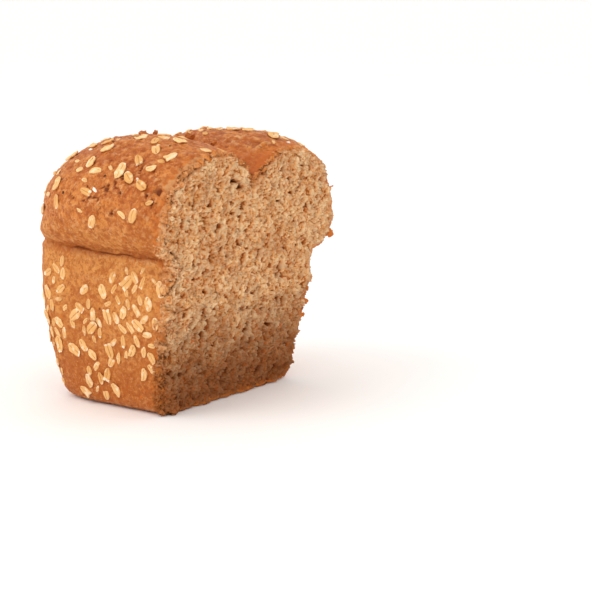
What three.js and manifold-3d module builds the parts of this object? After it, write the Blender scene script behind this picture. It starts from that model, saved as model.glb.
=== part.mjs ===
// A split-top tin loaf, cut across with a knife, with oat flakes baked onto its crust.
// Millimetres, +Z up. +X runs along the loaf towards the cut, and the loaf stands on z = 0.
import * as THREE from 'three';
import { LoftGeometry } from 'three/addons/geometries/LoftGeometry.js';
import { ImprovedNoise } from 'three/addons/math/ImprovedNoise.js';
import * as BufferGeometryUtils from 'three/addons/utils/BufferGeometryUtils.js';
import Module from 'manifold-3d';

// ---- driving dimensions --------------------------------------------------------------------

// the part of the loaf that baked inside the tin
const rimLength = 131;          // the uncut loaf along X at the tin's rim
const rimWidth = 118;           // across at the tin's rim
const rimHeight = 76;           // from the base up to the rim
const sideTaper = 3.5;          // how far the base edge stands inside the rim at the sides
const endTaper = 9.5;            // the same at the far end
const wallBulge = 3;            // swelling of the walls half way up
const baseEdgeRadius = 5;       // rounding between the base and the walls
const cornerPower = 9;          // squareness of the tin's plan, as a superellipse power
const baseCornerPower = 6;      // the same at the base, where the corners are rounder

// the crown that rose over the rim
const waistDepth = 3;           // pinch in the crust just above the rim
const sideOverhang = 15.5;      // how far the crown hangs out past the rim at the sides
const endOverhang = 1.2;        // the same at the far end
const lipHeight = 19.5;         // from the waist up to the crown's widest level
const crownRise = 51;           // from the widest level up to the top, before the crease
const crownPower = 3.1;         // squareness of the crown's plan
const rimSag = 4.5;             // how much lower the waist runs on the +Y side, and higher on -Y
const crownSag = 5.5;           // the same for the crown's widest level

// the crease that splits the top along its length
const creaseDepth = 29;
const creaseReach = 18;         // how far the crease's slope spreads to each side
const creaseOffset = -8;        // sideways wander of the crease at the middle of the loaf

// the knife cut
const cutDistance = 20;         // from the middle of the uncut loaf to the cut, at the base
const cutLean = 0.163;          // how far the cut leans out for each millimetre of height

// small swellings of the crust
const lumpHeight = 1.1;
const lumpSpacing = 31;

// oat flakes
const flakeLength = 8.2;
const flakeWidth = 5;
const flakeThickness = 1.1;
const flakeSizeSpread = 0.22;   // flakes are this share larger or smaller
const flakeGap = 0.45;          // clearance between a flake and the crust under it
const flakeSpacing = 10;        // least distance between the centres of two flakes
const edgeMargin = 6.5;         // from a flake's centre to the cut and to the waist

// mesh fineness
const columns = 88;
const arcRows = 4;
const wallRows = 7;
const lipRows = 6;
const crownRows = 15;
const flakeSides = 12;

// ---- helpers ---------------------------------------------------------------------------------

const wasm = await Module();
wasm.setup();

function toManifold(geometry) {
	const bare = new THREE.BufferGeometry().copy(geometry);
	bare.deleteAttribute('normal');
	bare.deleteAttribute('uv');
	const merged = BufferGeometryUtils.mergeVertices(bare, 1e-4);
	const corners = merged.index.array;
	const triangles = [];
	for (let i = 0; i < corners.length; i += 3) {
		const [a, b, c] = corners.slice(i, i + 3);
		const collapsed = a === b || b === c || c === a;   // where a ring closes to a point
		if (!collapsed) triangles.push(a, b, c);
	}
	const mesh = new wasm.Mesh({
		numProp: 3,
		vertProperties: new Float32Array(merged.attributes.position.array),
		triVerts: new Uint32Array(triangles),
	});
	return new wasm.Manifold(mesh);
}

function toGeometry(solid) {
	const mesh = solid.getMesh();
	const geometry = new THREE.BufferGeometry();
	geometry.setAttribute('position', new THREE.BufferAttribute(new Float32Array(mesh.vertProperties), 3));
	geometry.setIndex(new THREE.BufferAttribute(new Uint32Array(mesh.triVerts), 1));
	geometry.computeVertexNormals();
	return geometry;
}

// a small seeded generator, so that the flakes fall in the same places on every run
function makeRandom(seed) {
	let state = seed;
	return () => {
		state = (state + 0x6d2b79f5) | 0;
		let t = Math.imul(state ^ (state >>> 15), 1 | state);
		t = (t + Math.imul(t ^ (t >>> 7), 61 | t)) ^ t;
		return ((t ^ (t >>> 14)) >>> 0) / 4294967296;
	};
}

// ---- the loaf's skin ------------------------------------------------------------------------

// One level of the skin: a superellipse in plan. out and outEnd are measured from the rim,
// sag lowers the +Y side, and shrink and rise draw the crown in towards its crease.
function skinRing({ z, out, outEnd = out, power, sag = 0, shrink = 1, rise = 0 }) {
	const halfLength = rimLength / 2 + outEnd;
	const halfWidth = rimWidth / 2 + out;
	const ring = [];
	for (let i = 0; i < columns; i++) {
		const angle = (i / columns) * 2 * Math.PI;
		const c = Math.cos(angle);
		const s = Math.sin(angle);
		const reach = Math.pow(Math.pow(Math.abs(c), power) + Math.pow(Math.abs(s), power), -1 / power);
		const across = s * reach * shrink;
		const fromCrease = across * halfWidth;
		const valley = creaseDepth * Math.exp(-Math.abs(fromCrease) / creaseReach);
		const x = c * reach * shrink * halfLength;
		const y = fromCrease + creaseOffset * (1 - shrink);
		const height = z - sag * across + rise * (crownRise + crownSag * across - valley);
		ring.push(new THREE.Vector3(x, y, height));
	}
	return ring;
}

function skinSections() {
	const middleOfBase = skinRing({ z: 0, out: 0, power: baseCornerPower, shrink: 0 });
	const sections = [middleOfBase.map((point) => point.setY(0))];
	const wallAt = (z, inset, sag) => {
		const swelling = wallBulge * Math.sin(Math.PI * z / rimHeight) - inset;
		const out = swelling - sideTaper * (1 - z / rimHeight);
		const outEnd = swelling - endTaper * (1 - z / rimHeight);
		const power = THREE.MathUtils.lerp(baseCornerPower, cornerPower, z / rimHeight);
		sections.push(skinRing({ z, out, outEnd, power, sag }));
	};
	for (let i = 0; i < arcRows; i++) {
		const turn = (i / arcRows) * (Math.PI / 2);
		wallAt(baseEdgeRadius * (1 - Math.cos(turn)), baseEdgeRadius * (1 - Math.sin(turn)), 0);
	}
	for (let i = 0; i < wallRows; i++) {
		const share = i / (wallRows - 1);
		wallAt(THREE.MathUtils.lerp(baseEdgeRadius, rimHeight - waistDepth, share), 0, rimSag * share);
	}
	for (let i = 0; i < lipRows; i++) {
		const turn = (i / lipRows) * (Math.PI / 2);
		const share = Math.sin(turn);
		sections.push(skinRing({
			z: rimHeight + lipHeight * (1 - Math.cos(turn)),
			out: THREE.MathUtils.lerp(-waistDepth, sideOverhang, share),
			outEnd: THREE.MathUtils.lerp(-waistDepth, endOverhang, share),
			power: THREE.MathUtils.lerp(cornerPower, crownPower, share),
			sag: THREE.MathUtils.lerp(rimSag, crownSag, share),
		}));
	}
	for (let i = 0; i <= crownRows; i++) {
		const turn = (i / crownRows) * (Math.PI / 2);
		sections.push(skinRing({
			z: rimHeight + lipHeight,
			out: sideOverhang,
			outEnd: endOverhang,
			power: crownPower,
			sag: crownSag,
			shrink: i < crownRows ? Math.cos(turn) : 0,
			rise: Math.sin(turn),
		}));
	}
	return sections;
}

// gentle swellings push the skin in and out; the flat base stays flat
function swell(sections) {
	const noise = new ImprovedNoise();
	const middle = new THREE.Vector3(0, 0, rimHeight / 2);
	for (const ring of sections) {
		for (const point of ring) {
			const lift = Math.min(1, point.z / rimHeight);
			const lump = noise.noise(point.x / lumpSpacing, point.y / lumpSpacing, point.z / lumpSpacing);
			const away = point.clone().sub(middle).setZ(0).normalize();
			point.addScaledVector(away, lump * lumpHeight * lift);
			point.z += lump * lumpHeight * lift * Math.min(1, Math.max(0, point.z / rimHeight - 1) * 2);
		}
	}
	return sections;
}

function makeLoaf() {
	const sections = swell(skinSections());
	const whole = toManifold(new LoftGeometry(sections));
	const lean = Math.atan(cutLean);
	const outwards = new THREE.Vector3(Math.cos(lean), 0, -Math.sin(lean));
	const blade = 4 * Math.max(rimLength, rimWidth);
	const offcut = new THREE.BoxGeometry(blade, blade, blade);
	offcut.rotateY(lean);
	offcut.translate(cutDistance, 0, 0);
	offcut.translate(outwards.x * blade / 2, 0, outwards.z * blade / 2);
	return toGeometry(whole.subtract(toManifold(offcut)));
}

// ---- oat flakes -----------------------------------------------------------------------------

// a flake lying flat: a thin oval with a crowned top, one unit long and wide from its middle
function flakeBlank() {
	const profile = [
		new THREE.Vector2(0, 0),
		new THREE.Vector2(1, 0),
		new THREE.Vector2(1, 0.4),
		new THREE.Vector2(0.62, 0.88),
		new THREE.Vector2(0, 1),
	];
	const blank = new THREE.LatheGeometry(profile, flakeSides);
	blank.rotateX(Math.PI / 2);
	blank.deleteAttribute('normal');
	blank.deleteAttribute('uv');
	return BufferGeometryUtils.mergeVertices(blank, 1e-5);
}

// where flakes may lie: the way they are thrown at the crust, and the patch that they cover,
// as shares of the loaf's length, width and height measured from its middle and base
const middleHeight = rimHeight / 2;
const patches = [
	{ name: 'near wall', count: 23, way: [0, 1, 0], x: [-0.44, 0.26], z: [0.34, 0.88] },
	{ name: 'near shoulder', count: 14, way: [0, 1, -1], x: [-0.4, 0.24], z: [0.45, 1.3] },
	{ name: 'far shoulder', count: 8, way: [0, 0, -1], x: [-0.34, 0.26], y: [0.14, 0.5] },
	{ name: 'far wall', count: 7, way: [0, -1, 0], x: [-0.4, 0.2], z: [0.3, 0.8] },
	{ name: 'end wall', count: 7, way: [1, 0, 0], y: [-0.36, 0.36], z: [0.3, 0.84] },
];

function makeFlakes(loaf) {
	const random = makeRandom(11);
	const blank = flakeBlank();
	const target = new THREE.Mesh(loaf, new THREE.MeshBasicMaterial());
	const raycaster = new THREE.Raycaster();
	const flakes = [];
	const seats = [];
	const within = (range) => THREE.MathUtils.lerp(range[0], range[1], random());

	const castOnto = (from, way) => {
		raycaster.set(from, way);
		return raycaster.intersectObject(target)[0];
	};

	const isClear = (point) => {
		const toCut = cutDistance + cutLean * point.z - point.x;
		const waist = rimHeight - (rimSag * point.y) / (rimWidth / 2);
		const toWaist = Math.abs(point.z - waist);
		const toCrease = Math.abs(point.y - creaseOffset / 2);
		const inCrease = point.z > waist && toCrease < creaseReach / 2;
		return toCut > edgeMargin && toWaist > edgeMargin && !inCrease
			&& seats.every((seat) => seat.distanceTo(point) > flakeSpacing);
	};

	for (const patch of patches) {
		const way = new THREE.Vector3(...patch.way).normalize();
		let placed = 0;
		for (let tries = 0; placed < patch.count && tries < 4000; tries++) {
			const from = new THREE.Vector3(
				patch.x ? within(patch.x) * rimLength : 0,
				patch.y ? within(patch.y) * rimWidth : 0,
				patch.z ? within(patch.z) * rimHeight : middleHeight,
			).addScaledVector(way, -4 * rimLength);
			const hit = castOnto(from, way);
			if (!hit || !isClear(hit.point)) continue;
			const size = 1 + flakeSizeSpread * (2 * random() - 1);
			const turn = (random() - 0.5) * Math.PI * 0.7;
			const geometry = drapeFlake(blank, hit, size, turn, castOnto);
			if (!geometry) continue;
			seats.push(hit.point);
			flakes.push(geometry);
			placed++;
		}
	}
	return flakes;
}

// Lays a blank on the crust at a hit point. Each of its points keeps its height above the
// crust straight under it, so that the flake follows the curve and its gap stays even.
function drapeFlake(blank, hit, size, turn, castOnto) {
	const normal = hit.face.normal.clone();
	const up = Math.abs(normal.z) > 0.9 ? new THREE.Vector3(1, 0, 0) : new THREE.Vector3(0, 0, 1);
	const along = up.addScaledVector(normal, -up.dot(normal)).normalize().applyAxisAngle(normal, turn);
	const across = new THREE.Vector3().crossVectors(normal, along);
	const geometry = blank.clone();
	const position = geometry.attributes.position;
	const inwards = normal.clone().negate();
	const lift = flakeLength;
	for (let i = 0; i < position.count; i++) {
		const start = hit.point.clone()
			.addScaledVector(along, position.getX(i) * size * flakeLength / 2)
			.addScaledVector(across, position.getY(i) * size * flakeWidth / 2)
			.addScaledVector(normal, lift);
		const under = castOnto(start, inwards);
		if (!under || Math.abs(under.distance - lift) > flakeLength / 4) return null;
		start.copy(under.point).addScaledVector(normal, flakeGap + position.getZ(i) * flakeThickness);
		position.setXYZ(i, start.x, start.y, start.z);
	}
	return geometry;
}

// ---- the model ------------------------------------------------------------------------------

const crust = new THREE.MeshStandardMaterial({ color: 0xb9712f, roughness: 0.7, metalness: 0 });
const oat = new THREE.MeshStandardMaterial({ color: 0xe8c48a, roughness: 0.75, metalness: 0 });

const tinLoaf = new THREE.Group();

const loafGeometry = makeLoaf();
const loaf = new THREE.Mesh(loafGeometry, crust);
loaf.name = 'loaf';
tinLoaf.add(loaf);

makeFlakes(loafGeometry).forEach((geometry, index) => {
	const flake = new THREE.Mesh(geometry, oat);
	flake.name = `oat_flake_${String(index + 1).padStart(2, '0')}`;
	tinLoaf.add(flake);
});

// the origin goes under the middle of the loaf's own box, on the surface it stands on
const bounds = new THREE.Box3().setFromObject(tinLoaf);
const centre = bounds.getCenter(new THREE.Vector3());
tinLoaf.position.set(-centre.x, -centre.y, -bounds.min.z);

export default tinLoaf;
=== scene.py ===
import math
import random
import bpy
import numpy as np
from mathutils import Matrix, Vector, kdtree, noise
from mathutils.bvhtree import BVHTree


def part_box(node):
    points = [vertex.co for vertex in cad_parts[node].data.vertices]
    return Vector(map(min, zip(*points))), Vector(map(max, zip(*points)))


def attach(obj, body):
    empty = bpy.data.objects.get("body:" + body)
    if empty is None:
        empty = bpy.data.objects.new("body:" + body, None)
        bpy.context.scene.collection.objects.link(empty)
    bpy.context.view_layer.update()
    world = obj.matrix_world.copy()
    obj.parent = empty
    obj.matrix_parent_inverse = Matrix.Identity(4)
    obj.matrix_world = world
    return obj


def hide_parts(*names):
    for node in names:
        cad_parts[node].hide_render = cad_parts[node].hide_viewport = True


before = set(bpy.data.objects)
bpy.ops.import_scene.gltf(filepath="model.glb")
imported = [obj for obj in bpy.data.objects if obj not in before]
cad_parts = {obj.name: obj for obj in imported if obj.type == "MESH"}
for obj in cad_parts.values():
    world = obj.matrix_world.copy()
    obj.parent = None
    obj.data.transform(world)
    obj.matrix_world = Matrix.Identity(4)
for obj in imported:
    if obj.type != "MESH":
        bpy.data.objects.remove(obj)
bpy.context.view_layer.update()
mm = 0.001


# everyday tools

def deselectAll():
    if bpy.context.object and bpy.context.object.mode != "OBJECT":
        bpy.ops.object.mode_set(mode="OBJECT")
    bpy.ops.object.select_all(action="DESELECT")


def workOn(piece):
    deselectAll()
    piece.select_set(True)
    bpy.context.view_layer.objects.active = piece


def editMode(kind):
    bpy.ops.object.mode_set(mode="EDIT")
    bpy.ops.mesh.select_mode(type=kind)


def editAll():
    editMode("VERT")
    bpy.ops.mesh.select_all(action="SELECT")


def objectMode():
    bpy.ops.object.mode_set(mode="OBJECT")


def pick(piece, kind, wanted):
    # selects the faces, edges or vertices whose flag is set, and leaves the piece in edit mode
    editMode(kind)
    bpy.ops.mesh.select_all(action="DESELECT")
    objectMode()
    parts = {"FACE": piece.data.polygons, "EDGE": piece.data.edges, "VERT": piece.data.vertices}[kind]
    parts.foreach_set("select", np.asarray(wanted, dtype=bool))
    editMode(kind)


def finishModifier(piece, kind, **settings):
    made = piece.modifiers.new(kind.lower(), kind)
    for name, value in settings.items():
        setattr(made, name, value)
    bpy.ops.object.modifier_apply(modifier=made.name)


def triples(items, key):
    flat = np.zeros(len(items) * 3)
    items.foreach_get(key, flat)
    return flat.reshape(-1, 3)


def points(piece):
    return triples(piece.data.vertices, "co")


def pointNormals(piece):
    return triples(piece.data.vertex_normals, "vector")


def faceCentres(piece):
    return triples(piece.data.polygons, "center")


def faceNormals(piece):
    return triples(piece.data.polygons, "normal")


def setPoints(piece, where):
    piece.data.vertices.foreach_set("co", where.ravel())
    piece.data.update()


def treeOf(piece):
    return BVHTree.FromPolygons(
        [v.co.copy() for v in piece.data.vertices], [tuple(p.vertices) for p in piece.data.polygons])


def hitFrom(tree, start, direction):
    # the first place on the surface that a ray meets
    return tree.ray_cast(Vector(start), Vector(direction))[0]


def joinAll(parts, name):
    deselectAll()
    for part in parts:
        part.select_set(True)
    bpy.context.view_layer.objects.active = parts[0]
    bpy.ops.object.join()
    parts[0].name = name
    return parts[0]


def takeFaces(piece, wanted, name):
    # a new piece from copies of the quads whose four corners are all wanted
    corners = np.zeros(len(piece.data.polygons) * 4, dtype=int)
    piece.data.polygons.foreach_get("vertices", corners)
    workOn(piece)
    pick(piece, "FACE", wanted[corners.reshape(-1, 4)].all(axis=1))
    bpy.ops.mesh.duplicate()
    bpy.ops.mesh.separate(type="SELECTED")
    objectMode()
    taken = [o for o in bpy.context.selected_objects if o != piece][0]
    taken.name = name
    workOn(taken)
    taken.vertex_groups.clear()
    return taken


def step(low, high, value):
    t = np.clip((value - low) / (high - low), 0, 1)
    return t * t * (3 - 2 * t)


def bell(value, width):
    # 1 where the value is 0, fading over this width on both sides
    return np.exp(-(value / width) ** 2)


def cloud(places, size, seed):
    # soft noise from -1 to 1 at each place, with lumps of about this size
    shift = Vector((seed * 17.3, seed * 5.1, seed * 9.7))
    return np.array([noise.noise(Vector(p) / size + shift) for p in places])


def weigh(piece, name, weights):
    group = piece.vertex_groups.new(name=name)
    levels = np.round(np.clip(weights, 0, 1) * 60).astype(int)
    for level in np.unique(levels):
        if level > 0:
            group.add(np.nonzero(levels == level)[0].tolist(), level / 60, "REPLACE")
    return name


def paint(piece, name, values):
    layer = piece.data.attributes.new(name, "FLOAT", "POINT")
    layer.data.foreach_set("value", np.asarray(values, dtype=np.float32))


def painted(piece, name):
    values = np.zeros(len(piece.data.vertices), dtype=np.float32)
    piece.data.attributes[name].data.foreach_get("value", values)
    return values


def edgePairs(piece):
    flat = np.zeros(len(piece.data.edges) * 2, dtype=int)
    piece.data.edges.foreach_get("vertices", flat)
    return flat.reshape(-1, 2)


def standing(piece, rounds, outward):
    # how far each point stands proud of its neighbourhood, in millimetres
    pairs = edgePairs(piece)
    where = points(piece)
    total = len(where)
    soft = where.copy()
    count = np.maximum(np.bincount(pairs.ravel(), minlength=total), 1)
    for _ in range(rounds):
        for axis in range(3):
            line = soft[:, axis]
            near = np.bincount(pairs[:, 0], line[pairs[:, 1]], total)
            near += np.bincount(pairs[:, 1], line[pairs[:, 0]], total)
            soft[:, axis] = 0.5 * line + 0.5 * near / count
    return ((where - soft) * outward).sum(axis=1) / mm


def makeTexture(name, kind, **settings):
    made = bpy.data.textures.new(name, kind)
    for key, value in settings.items():
        setattr(made, key, value)
    return made


def swell(piece, texture, height, group=None, direction="NORMAL", stretch=None, middle=0.5):
    settings = {"strength": height, "mid_level": middle, "direction": direction}
    if texture:
        settings["texture"] = texture
    if group:
        settings["vertex_group"] = group
    holder = None
    if stretch:
        bpy.ops.object.empty_add(location=(0, 0, 0))
        holder = bpy.context.object
        holder.scale = stretch
        settings["texture_coords"] = "OBJECT"
        settings["texture_coords_object"] = holder
        bpy.context.view_layer.update()
        workOn(piece)
    finishModifier(piece, "DISPLACE", **settings)
    if holder:
        bpy.data.objects.remove(holder)


def roughen(piece, look, name, group, direction="NORMAL", stretch=None, middle=0.5, kind="CLOUDS", **texture):
    # swells a weighted part by a texture, whose height and lump size are under this name in the look
    height, size = look[name]
    made = makeTexture(name, kind, noise_scale=size, **texture)
    swell(piece, made, height, group, direction, stretch, middle)


def push(piece, name, weights, height, direction="NORMAL"):
    # moves the weighted part by this height at full weight
    weigh(piece, name, weights)
    swell(piece, None, height, name, direction, middle=0)


def copyNode(node, name):
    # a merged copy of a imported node, which arrives as loose triangles
    workOn(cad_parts[node])
    bpy.ops.object.duplicate()
    made = bpy.context.object
    made.name = name
    made.parent = None
    for key in list(made.keys()):
        del made[key]
    workOn(made)
    editAll()
    bpy.ops.mesh.remove_doubles(threshold=0.02 * mm)
    bpy.ops.mesh.normals_make_consistent(inside=False)
    objectMode()
    return made


# materials: arithmetic on sockets

class Signal:
    def __init__(self, paints, socket):
        self.paints = paints
        self.socket = socket

    def combine(self, operation, first, second):
        return self.paints.node("Math", {"operation": operation}, {0: first, 1: second})

    def __add__(self, other):
        return self.combine("ADD", self, other)

    def __radd__(self, other):
        return self.combine("ADD", other, self)

    def __sub__(self, other):
        return self.combine("SUBTRACT", self, other)

    def __rsub__(self, other):
        return self.combine("SUBTRACT", other, self)

    def __mul__(self, other):
        return self.combine("MULTIPLY", self, other)

    def __rmul__(self, other):
        return self.combine("MULTIPLY", other, self)


class Paints:
    def __init__(self, name):
        self.material = bpy.data.materials.new(name)
        self.material.use_nodes = True
        self.tree = self.material.node_tree
        self.tree.nodes.clear()

    def node(self, kind, settings=None, inputs=None, output=0):
        made = self.tree.nodes.new("ShaderNode" + kind)
        for key, value in (settings or {}).items():
            setattr(made, key, value)
        for key, value in (inputs or {}).items():
            if isinstance(value, Signal):
                self.tree.links.new(value.socket, made.inputs[key])
            elif made.inputs[key].type == "RGBA":
                made.inputs[key].default_value = (*value, 1)
            else:
                made.inputs[key].default_value = value
        return Signal(self, made.outputs[output])

    def places(self, stretch=(1, 1, 1), turn=(0, 0, 0)):
        here = self.node("TexCoord", output=3)
        return self.node("Mapping", {}, {"Vector": here, "Scale": stretch, "Rotation": turn})

    def lumps(self, where, size, detail=2.0, roughness=0.5, distortion=0.0):
        return self.node("TexNoise", {}, {
            "Vector": where, "Scale": 1 / size, "Detail": detail,
            "Roughness": roughness, "Distortion": distortion})

    def cells(self, where, size):
        return self.node("TexVoronoi", {}, {"Vector": where, "Scale": 1 / size}, "Distance")

    def window(self, signal, low, high):
        # 0 at low, 1 at high, eased; low may be above high
        return self.node("MapRange", {"interpolation_type": "SMOOTHSTEP"}, {
            "Value": signal, "From Min": low, "From Max": high, "To Min": 0.0, "To Max": 1.0})

    def mix(self, amount, below, above):
        return self.node("Mix", {"data_type": "RGBA"}, {0: amount, 6: below, 7: above}, output=2)

    def along(self, where, axis):
        return self.node("SeparateXYZ", {}, {"Vector": where}, output=axis)

    def attribute(self, name):
        return self.node("Attribute", {"attribute_name": name}, {}, output=2)

    def bump(self, height, depth, strength=1.0):
        return self.node("Bump", {}, {"Height": height, "Distance": depth, "Strength": strength})

    def surface(self, **inputs):
        body = self.node("BsdfPrincipled", {}, inputs)
        end = self.tree.nodes.new("ShaderNodeOutputMaterial")
        self.tree.links.new(body.socket, end.inputs["Surface"])
        return self.material


def tint(red, green, blue):
    # a colour as a paint chart gives it, 0 to 255, made linear
    return tuple((c / 255 / 12.92) if c < 10.3 else ((c / 255 + 0.055) / 1.055) ** 2.4
                 for c in (red, green, blue))


# the loaf's own facts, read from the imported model

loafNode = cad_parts["loaf"]
cadCentres = faceCentres(loafNode)
cadNormals = faceNormals(loafNode)
cutFaces = cadNormals[:, 0] > 0.96
cutFaces &= np.abs(cadNormals[:, 1]) < 0.02
cutDirection = np.median(cadNormals[cutFaces], axis=0)
cutDirection /= np.linalg.norm(cutDirection)
cutOffset = float(np.median(cadCentres[cutFaces] @ cutDirection))
loafLow = Vector(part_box("loaf")[0])
loafHigh = Vector(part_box("loaf")[1])
loafTop = loafHigh.z
cadTree = treeOf(loafNode)
print("loaf read: cut plane faces", tuple(round(float(c), 3) for c in cutDirection),
      "at", round(cutOffset * 1000, 2), "mm")


def ahead(places):
    # distance in front of the cut plane, minus inside the bread
    return places @ cutDirection - cutOffset


def cutX(height):
    # x of the cut plane at this height
    return (cutOffset - cutDirection[2] * height) / cutDirection[0]


# the line that the pan's rim left round the loaf
rim = {
    "middleHeight": 74.0 * mm,     # height of the line at y = 0, at the cut end
    "rise": -0.076,                # how it climbs towards the near side
    "farClimb": 3.6 * mm,          # how much higher it stands at the uncut end
    "climbSpread": 11 * mm,
    "wander": 1.1 * mm,
    "crackWidth": 0.75 * mm,
    "crackDepth": 0.8 * mm,
    "lipHeight": 0.35 * mm,
    "lipWidth": 2.2 * mm,
    "lipAbove": 3.2 * mm,
    "cornerFill": 2.2 * mm,        # bread that fills the corner under the dome by the cut
    "fillWidth": 3.0 * mm,
    "fillBelow": 0.8 * mm,
}


def farShare(places):
    # 0 at the cut, 1 at the uncut end
    return (loafHigh.x - places[:, 0]) / (loafHigh.x - loafLow.x)


def rimHeight(places):
    return rim["middleHeight"] + rim["rise"] * places[:, 1] + rim["farClimb"] * farShare(places)


# crust

crustLook = {
    "voxel": 1.3 * mm,
    "bigSwell": (1.3 * mm, 32 * mm),     # height and lump size, as in the other texture pairs
    "lumps": (1.2 * mm, 9 * mm),
    "grain": (1.1 * mm, 2.6 * mm),
    "wrinkles": (1.0 * mm, 9 * mm),
    "crownStart": (10 * mm, 26 * mm),    # above the rim's line, where the crown's finish begins and is full
    "splitDepth": 0.8 * mm,
    "blisters": 30,
    "blisterSize": (0.9 * mm, 2.2 * mm), # smallest and largest
    "blisterRise": 0.8 * mm,
    "blisterDip": 1.2 * mm,
    "bigBlisterSize": 3.6 * mm,
    "bigBlisterBehind": 9 * mm,          # how far behind the cut
    "bigBlisterHeight": 0.114,
    "foldHeight": 2.3 * mm,
    "foldWidth": 1.6 * mm,
    "tornAway": 4.0 * mm,                # crumb lost from the far wall's foot beside the cut
    "ring": 1.4 * mm,                    # width of crust that stands round the crumb
    "recess": 8.6 * mm,
    "ragged": (2.4 * mm, 2.6 * mm),
    "tornReach": 5.0 * mm,
    "rawReach": 6.5 * mm,                # how far the torn crumb shows round the corner
    "raw": (2.4 * mm, 2.4 * mm),
}


def makeCrust():
    crust = copyNode("loaf", "crust")
    finishModifier(crust, "REMESH", mode="VOXEL", voxel_size=crustLook["voxel"], use_smooth_shade=True)
    where = points(crust)
    isCut = np.abs(ahead(where)) < 0.35 * mm
    weigh(crust, "skin", np.where(ahead(where) < -1.0 * mm, 1.0, 0.0))
    finishModifier(crust, "SMOOTH", factor=0.5, iterations=14, vertex_group="skin")
    where = points(crust)
    away = step(20 * mm, 56 * mm, where[:, 1]) * step(-26 * mm, -1 * mm, ahead(where))
    away *= step(72 * mm, 44 * mm, where[:, 2])
    push(crust, "away", away, -crustLook["tornAway"], "Y")
    print("crust: remeshed to", len(crust.data.polygons), "faces")
    return crust, isCut


crust, crustCut = makeCrust()


# distance from the skin for every point on the cut face

def skinDepth(piece, isCut):
    where = points(piece)
    edges = edgePairs(piece)
    mixed = isCut[edges[:, 0]] != isCut[edges[:, 1]]
    rimPoints = np.unique(edges[mixed].ravel())
    rimPoints = rimPoints[isCut[rimPoints]]
    tree = kdtree.KDTree(len(rimPoints))
    for number, index in enumerate(rimPoints):
        tree.insert(where[index], number)
    tree.balance()
    depth = np.zeros(len(where))
    for index in np.nonzero(isCut)[0]:
        depth[index] = tree.find(where[index])[2]
    return depth, tree


crustDepth, rimTree = skinDepth(crust, crustCut)
crustAhead = ahead(points(crust))


# crumb: starts as a copy of the crust's own cut face

crumbLook = {
    "cuts": 2,
    "plateThickness": 8.0 * mm,
    "tear": (3.4 * mm, 15 * mm),
    "clumps": (2.6 * mm, 6.0 * mm),
    "cells": (2.2 * mm, 3.9 * mm),
    "fineCells": (1.3 * mm, 2.3 * mm),
    "bigPores": (3.8 * mm, 9.5 * mm),
    "smallHoles": 150,
    "holeDepth": 5.2 * mm,
    "fray": (1.8 * mm, 2.2 * mm),
    "grit": (1.8 * mm, 1.1 * mm),
}


def makeCrumb():
    crumb = takeFaces(crust, crustCut, "crumb")
    depth = np.array([rimTree.find(p)[2] for p in points(crumb)])
    paint(crumb, "skinDepth", depth / mm)
    editAll()
    bpy.ops.mesh.vertices_smooth(factor=0.5, repeat=2)
    bpy.ops.mesh.subdivide(number_cuts=crumbLook["cuts"], smoothness=0)
    # a side wall and a back close the plate
    bpy.ops.mesh.select_mode(type="EDGE")
    bpy.ops.mesh.select_all(action="DESELECT")
    bpy.ops.mesh.select_non_manifold()
    back = tuple(-crumbLook["plateThickness"] * c for c in cutDirection)
    bpy.ops.mesh.extrude_edges_move(TRANSFORM_OT_translate={"value": back})
    bpy.ops.transform.resize(value=(1, 0.985, 0.985))
    bpy.ops.mesh.edge_face_add()
    bpy.ops.mesh.select_all(action="SELECT")
    bpy.ops.mesh.normals_make_consistent(inside=False)
    objectMode()
    return crumb


crumb = makeCrumb()
print("crumb: plate of", len(crumb.data.polygons), "faces")


# the larger holes: across, height, half width and half height in millimetres
holes = {
    "middleRight": (29, 64, 2.3, 4.4),
    "middleRightTail": (31, 58, 1.7, 2.8),
    "underNotch": (-11, 88, 1.5, 3.6),
    "nearLobe": (-41, 110, 1.8, 2.2),
    "nearCrease": (-17, 115, 3.4, 1.6),
    "nearCreaseLow": (-14, 112, 2.8, 1.6),
    "farLobe": (20, 118, 2.6, 1.6),
    "farLobeLow": (27, 112, 1.6, 2.0),
    "lowLeft": (-32, 38, 1.6, 2.2),
    "lowMiddle": (4, 34, 2.0, 1.4),
    "leftMiddle": (-40, 72, 1.3, 2.2),
}


def holeMarks(where):
    chance = random.Random(17)
    marks = np.zeros(len(where))
    shapes = [(*shape, 1.0) for shape in holes.values()]
    for _ in range(crumbLook["smallHoles"]):
        shapes.append((chance.uniform(-58, 60), chance.uniform(8, 128),
                       chance.uniform(0.6, 1.3), chance.uniform(0.8, 2.3), 0.7))
    bend = 1.2 * mm * cloud(where, 4 * mm, 51)
    lean = 1.2 * mm * cloud(where, 4 * mm, 52)
    for across, height, wide, tall, depth in shapes:
        sideways = (where[:, 1] + bend - across * mm) / (wide * mm)
        upward = (where[:, 2] + lean - height * mm) / (tall * mm)
        marks += depth * bell(sideways ** 2 + upward ** 2, 1)
    return np.clip(marks, 0, 1)


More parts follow.
